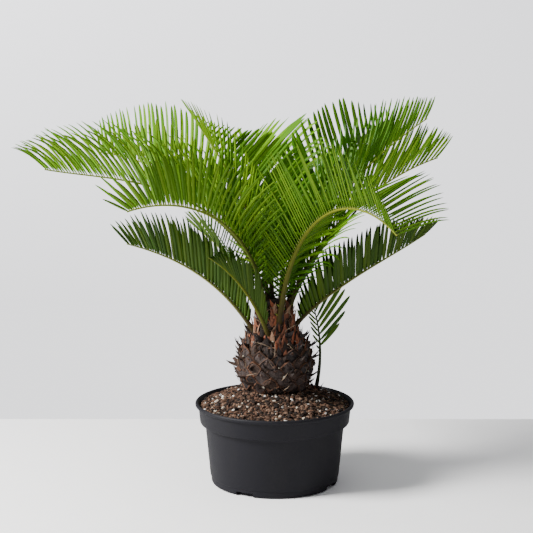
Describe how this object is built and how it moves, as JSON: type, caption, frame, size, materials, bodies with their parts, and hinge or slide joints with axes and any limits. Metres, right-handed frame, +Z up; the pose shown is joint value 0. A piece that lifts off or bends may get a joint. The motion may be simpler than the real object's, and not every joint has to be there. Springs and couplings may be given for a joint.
{
  "type": "potted sago palm",
  "caption": "Small sago palm with a scaly swollen trunk and arching feathery fronds, growing in a round plastic nursery pot filled with potting mix.",
  "frame": {"origin": "centre of the pot's flat underside, where it stands", "axes": "+Z up along the pot's axis, -Y towards the viewer of the front, +X to the viewer's right"},
  "size_m": [0.5103, 0.4615, 0.4628],
  "materials": {
    "pot_plastic": "matte charcoal black, finely grained",
    "potting_mix": "dark brown crumbs with white perlite",
    "leaf_bases": "dry brown leaf bases with paler rims",
    "young_frond": "bright leathery green",
    "old_frond": "dark leathery green"
  },
  "bodies": {
    "root": {"pot": "pot_plastic", "potting_mix": "potting_mix", "caudex": "leaf_bases", "frond_left_low": "old_frond", "frond_right_low": "old_frond", "frond_front_left_low": "old_frond", "frond_back_right_low": "old_frond", "frond_back_left_low": "old_frond", "frond_front_left": "young_frond", "frond_front_right": "young_frond", "frond_left": "young_frond", "frond_right": "young_frond", "frond_back_left": "young_frond", "frond_left_upright": "young_frond", "frond_back": "young_frond", "frond_back_centre": "young_frond", "frond_back_right": "young_frond", "frond_right_upright": "young_frond", "offset_frond": "young_frond"}
  },
  "joints": []
}
